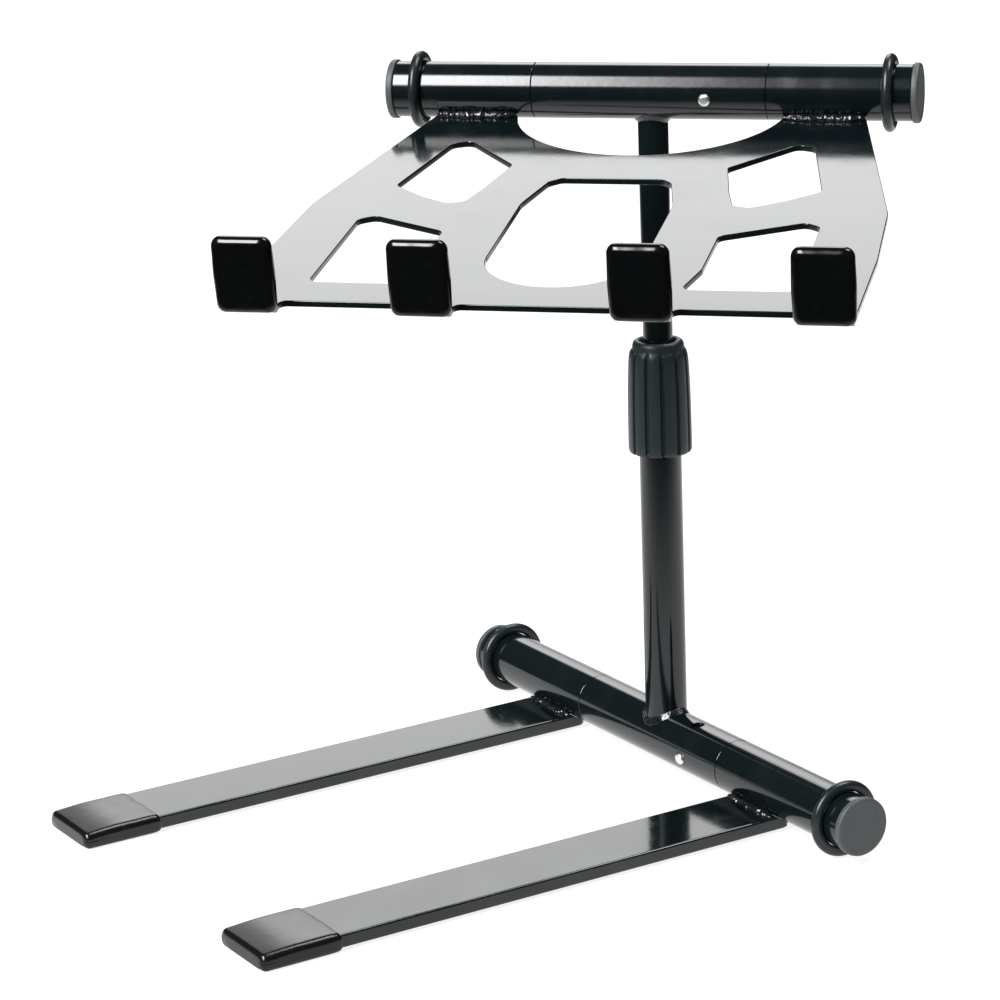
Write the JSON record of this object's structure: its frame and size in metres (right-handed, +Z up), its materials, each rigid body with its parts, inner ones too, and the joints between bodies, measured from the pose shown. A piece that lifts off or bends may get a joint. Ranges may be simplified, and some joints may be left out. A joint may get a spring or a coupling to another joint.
{
  "type": "folding laptop stand",
  "caption": "Folding laptop stand with flat legs, a height-adjustable twist-lock mast and a tilting, swivelling open tray with rubber-covered front hooks.",
  "frame": {"origin": "on the floor, at the middle of the whole footprint", "axes": "+Z up; +X along the base tube; the legs reach towards -Y"},
  "size_m": [0.476, 0.4142, 0.3871],
  "materials": {
    "black_paint": "gloss black powder coat",
    "weld_bead": "gloss black paint over a rippled weld",
    "rubber_ring": "satin black",
    "dipped_rubber": "glossy black dipped rubber",
    "end_cap": "matte dark grey",
    "grip": "matte dark blue-grey",
    "inner_plastic": "satin black",
    "bright_metal": "bright bare steel"
  },
  "bodies": {
    "base": {"base_inner_tube": "black_paint", "base_end_tube_left": "black_paint", "base_end_tube_right": "black_paint", "base_end_cap_left": "end_cap", "base_end_cap_right": "end_cap", "base_rubber_ring_left": "rubber_ring", "base_rubber_ring_right": "rubber_ring", "leg_left": "black_paint", "leg_right": "black_paint", "leg_tip_left": "dipped_rubber", "leg_tip_right": "dipped_rubber", "leg_weld_left": "weld_bead", "leg_weld_right": "weld_bead"},
    "base_button": {"base_snap_button": "bright_metal"},
    "mast": {"base_centre_sleeve": "black_paint", "base_button_spring": "bright_metal", "lower_post": "black_paint", "lower_post_weld": "weld_bead", "thread_bush": "inner_plastic", "split_collet": "inner_plastic"},
    "collar": {"locking_collar": "grip"},
    "slider": {"guide_bush": "inner_plastic"},
    "head": {"upper_post": "black_paint", "upper_post_weld": "weld_bead", "top_centre_sleeve": "black_paint", "top_button_spring": "bright_metal"},
    "tray": {"top_inner_tube": "black_paint", "top_end_tube_left": "black_paint", "top_end_tube_right": "black_paint", "top_end_cap_left": "end_cap", "top_end_cap_right": "end_cap", "top_rubber_ring_left": "rubber_ring", "top_rubber_ring_right": "rubber_ring", "tray_plate": "black_paint", "hook_cover_1": "dipped_rubber", "hook_cover_2": "dipped_rubber", "hook_cover_3": "dipped_rubber", "hook_cover_4": "dipped_rubber", "tray_weld_left": "weld_bead", "tray_weld_right": "weld_bead"},
    "top_button": {"top_snap_button": "bright_metal"}
  },
  "joints": [
    {"name": "fold", "type": "hinge", "parent": "base", "child": "mast", "pos_m": [-0.06454, 0.10097, 0.0198], "axis": [1, 0, 0], "range_deg": [0, 90]},
    {"name": "base_button_press", "type": "slide", "parent": "mast", "child": "base_button", "axis": [0, -0.989, -0.1478], "range_m": [-0.004, 0], "stiffness_N_per_m": 800, "deforming": ["base_button_spring"]},
    {"name": "collar_turn", "type": "hinge", "parent": "mast", "child": "collar", "pos_m": [-0.06454, 0.10097, 0.2], "axis": [0, 0, 1], "range_deg": [0, 120]},
    {"name": "height", "type": "slide", "parent": "mast", "child": "slider", "axis": [0, 0, 1], "range_m": [-0.09, 0.025]},
    {"name": "swivel", "type": "hinge", "parent": "slider", "child": "head", "pos_m": [-0.06454, 0.10097, 0.3], "axis": [0, 0, 1], "continuous": true},
    {"name": "tilt", "type": "hinge", "parent": "head", "child": "tray", "pos_m": [-0.06454, 0.10097, 0.3674], "axis": [-0.7133, -0.7009, 0], "range_deg": [-50, 28.5]},
    {"name": "top_button_press", "type": "slide", "parent": "head", "child": "top_button", "axis": [0.6932, -0.7054, -0.1478], "range_m": [-0.004, 0], "stiffness_N_per_m": 800, "deforming": ["top_button_spring"]}
  ]
}
